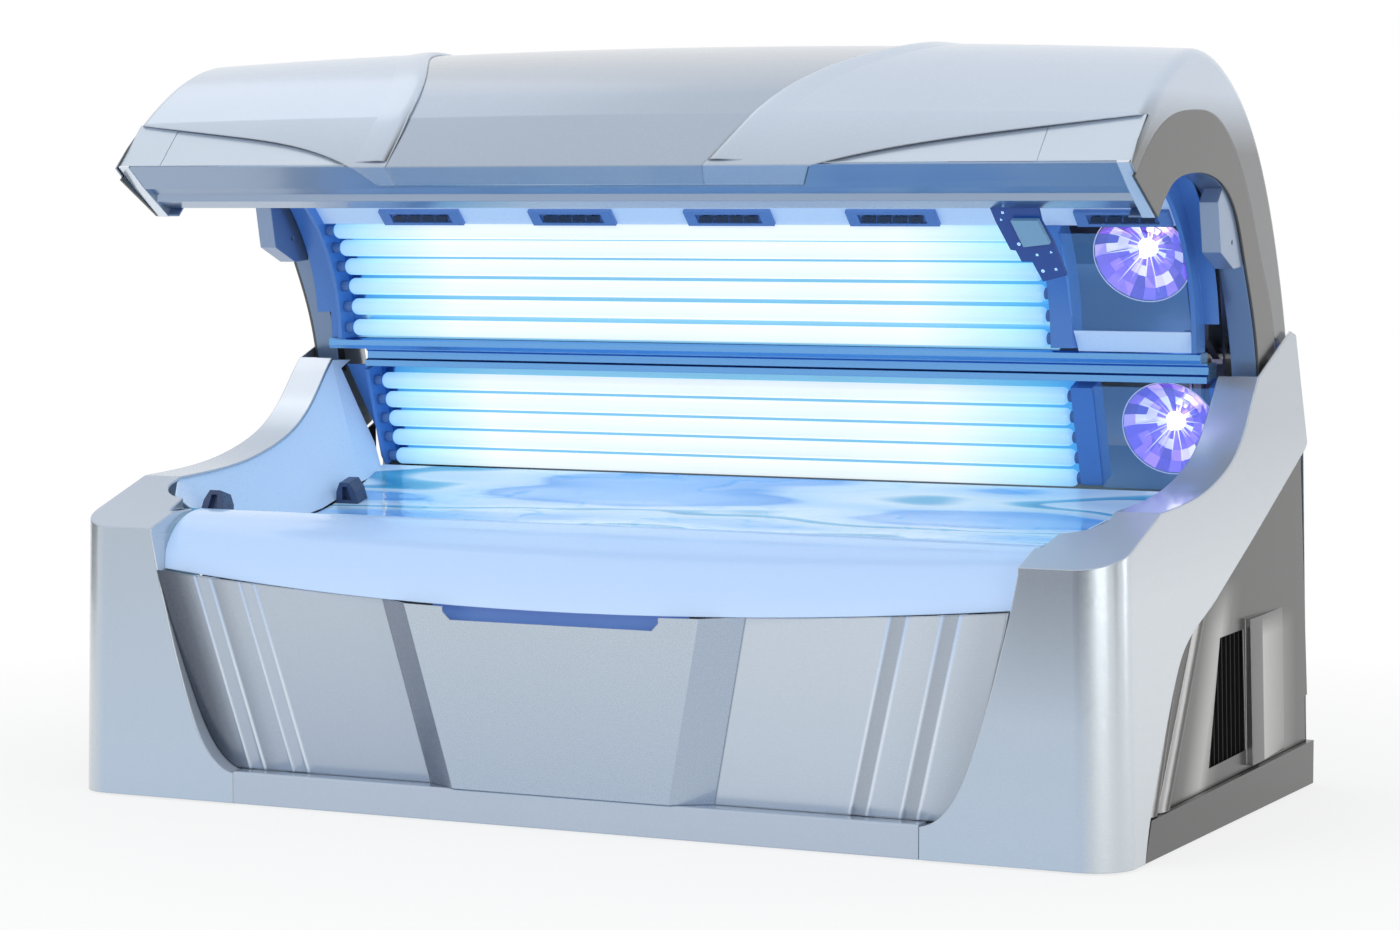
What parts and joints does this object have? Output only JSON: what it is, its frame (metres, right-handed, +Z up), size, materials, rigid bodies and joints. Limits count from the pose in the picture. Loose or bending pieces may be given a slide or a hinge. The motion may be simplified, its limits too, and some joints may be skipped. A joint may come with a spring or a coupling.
{
  "type": "clamshell tanning bed",
  "caption": "Lie-down tanning bed: dished acrylic bench and hinged canopy lined with fluorescent tubes, facial lamps at the head end and moulded silver shells.",
  "frame": {"origin": "on the floor below the middle of the bed", "axes": "+X along the bed towards the head end with the facial lamps, -Y towards the user who gets in, +Z up"},
  "size_m": [2.3714, 1.361, 1.5872],
  "materials": {
    "frame_steel": "satin",
    "foot_rubber": "matte",
    "silver_shell": "metallic satin",
    "silver_panel": "metallic satin",
    "bronze_shell": "metallic satin",
    "blue_shell": "metallic satin",
    "grey_sheet": "satin",
    "galvanised": "satin",
    "black_mesh": "matte",
    "lit_diffuser": "satin",
    "clear_acrylic": "gloss",
    "reflector_sheet": "polished",
    "lamp_glass": "gloss",
    "socket_plastic": "matte",
    "blue_rail": "satin",
    "blue_frame": "satin",
    "lit_liner": "satin",
    "facet_reflector": "polished",
    "burner": "gloss",
    "filter_glass": "gloss",
    "nozzle_plastic": "satin",
    "cylinder_black": "satin",
    "rod_chrome": "polished",
    "lip_aluminium": "satin",
    "vent_plastic": "satin",
    "keypad_foil": "satin"
  },
  "bodies": {
    "base": {"base_frame": "frame_steel", "levelling_feet": "foot_rubber", "front_plinth": "silver_shell", "side_plinths": "bronze_shell", "rear_cover": "grey_sheet", "end_shell_left": "silver_shell", "end_shell_right": "silver_shell", "side_panel_left": "bronze_shell", "side_panel_right": "bronze_shell", "intake_grilles": "black_mesh", "front_panel_left": "silver_shell", "front_panel_right": "silver_shell", "centre_front_panel": "silver_shell", "front_apron": "lit_diffuser", "bench_acrylic": "clear_acrylic", "bench_tray": "reflector_sheet", "bench_lamps": "lamp_glass", "rear_wall_lamps": "lamp_glass", "base_lamp_holders": "socket_plastic", "rear_wall_reflector": "reflector_sheet", "base_top_rail": "blue_rail", "base_end_frames": "blue_frame", "end_liners": "lit_liner", "base_post": "blue_frame", "lower_face_reflector": "facet_reflector", "lower_face_lamp": "burner", "lower_face_glass": "filter_glass", "bench_nozzles": "nozzle_plastic", "ballasts": "grey_sheet", "blower_housing": "galvanised", "hinge_brackets": "frame_steel"},
    "canopy": {"canopy_wing_left": "silver_shell", "canopy_wing_right": "silver_shell", "canopy_centre_skin": "silver_shell", "brow_panel_left": "silver_panel", "brow_panel_right": "silver_panel", "brow_end_caps": "silver_panel", "lip_profile": "lip_aluminium", "end_arch_left": "bronze_shell", "end_arch_right": "bronze_shell", "arch_soffits": "blue_shell", "canopy_frame": "frame_steel", "canopy_lamps": "lamp_glass", "canopy_lamp_holders": "socket_plastic", "canopy_reflector": "reflector_sheet", "canopy_end_frames": "blue_frame", "canopy_rail": "blue_rail", "vent_strip": "lit_liner", "air_vents": "vent_plastic", "canopy_post": "blue_frame", "upper_face_reflector": "facet_reflector", "upper_face_lamp": "burner", "upper_face_glass": "filter_glass", "control_panel": "keypad_foil", "grab_handles": "silver_panel", "canopy_fan_housing": "galvanised"},
    "spring_cylinders": {"gas_spring_cylinders": "cylinder_black"},
    "spring_rods": {"gas_spring_rods": "rod_chrome"},
    "base_impeller": {"blower_wheel": "galvanised"},
    "canopy_impeller": {"canopy_fan_wheel": "socket_plastic"}
  },
  "joints": [
    {"name": "canopy_hinge", "type": "hinge", "parent": "base", "child": "canopy", "pos_m": [0, 0.46, 0.95], "axis": [1, 0, 0], "range_deg": [0, 31]},
    {"name": "gas_spring_swing", "type": "hinge", "parent": "base", "child": "spring_cylinders", "pos_m": [0, 0.46, 0.62], "axis": [1, 0, 0], "range_deg": [0, 2.33]},
    {"name": "gas_spring_stroke", "type": "slide", "parent": "spring_cylinders", "child": "spring_rods", "axis": [0, -0.1909, 0.9816], "range_m": [-0.0388, 0]},
    {"name": "base_impeller_spin", "type": "hinge", "parent": "base", "child": "base_impeller", "pos_m": [0.769, 0.15, 0.265], "axis": [1, 0, 0], "continuous": true},
    {"name": "canopy_impeller_spin", "type": "hinge", "parent": "canopy", "child": "canopy_impeller", "pos_m": [-0.67, -0.12, 1.4445], "axis": [0, 0, 1], "continuous": true}
  ],
  "couplings": [
    {"joint": "gas_spring_swing", "follows": "canopy_hinge", "ratio": 0.073465},
    {"joint": "gas_spring_stroke", "follows": "canopy_hinge", "m_per_rad": -0.07078}
  ]
}
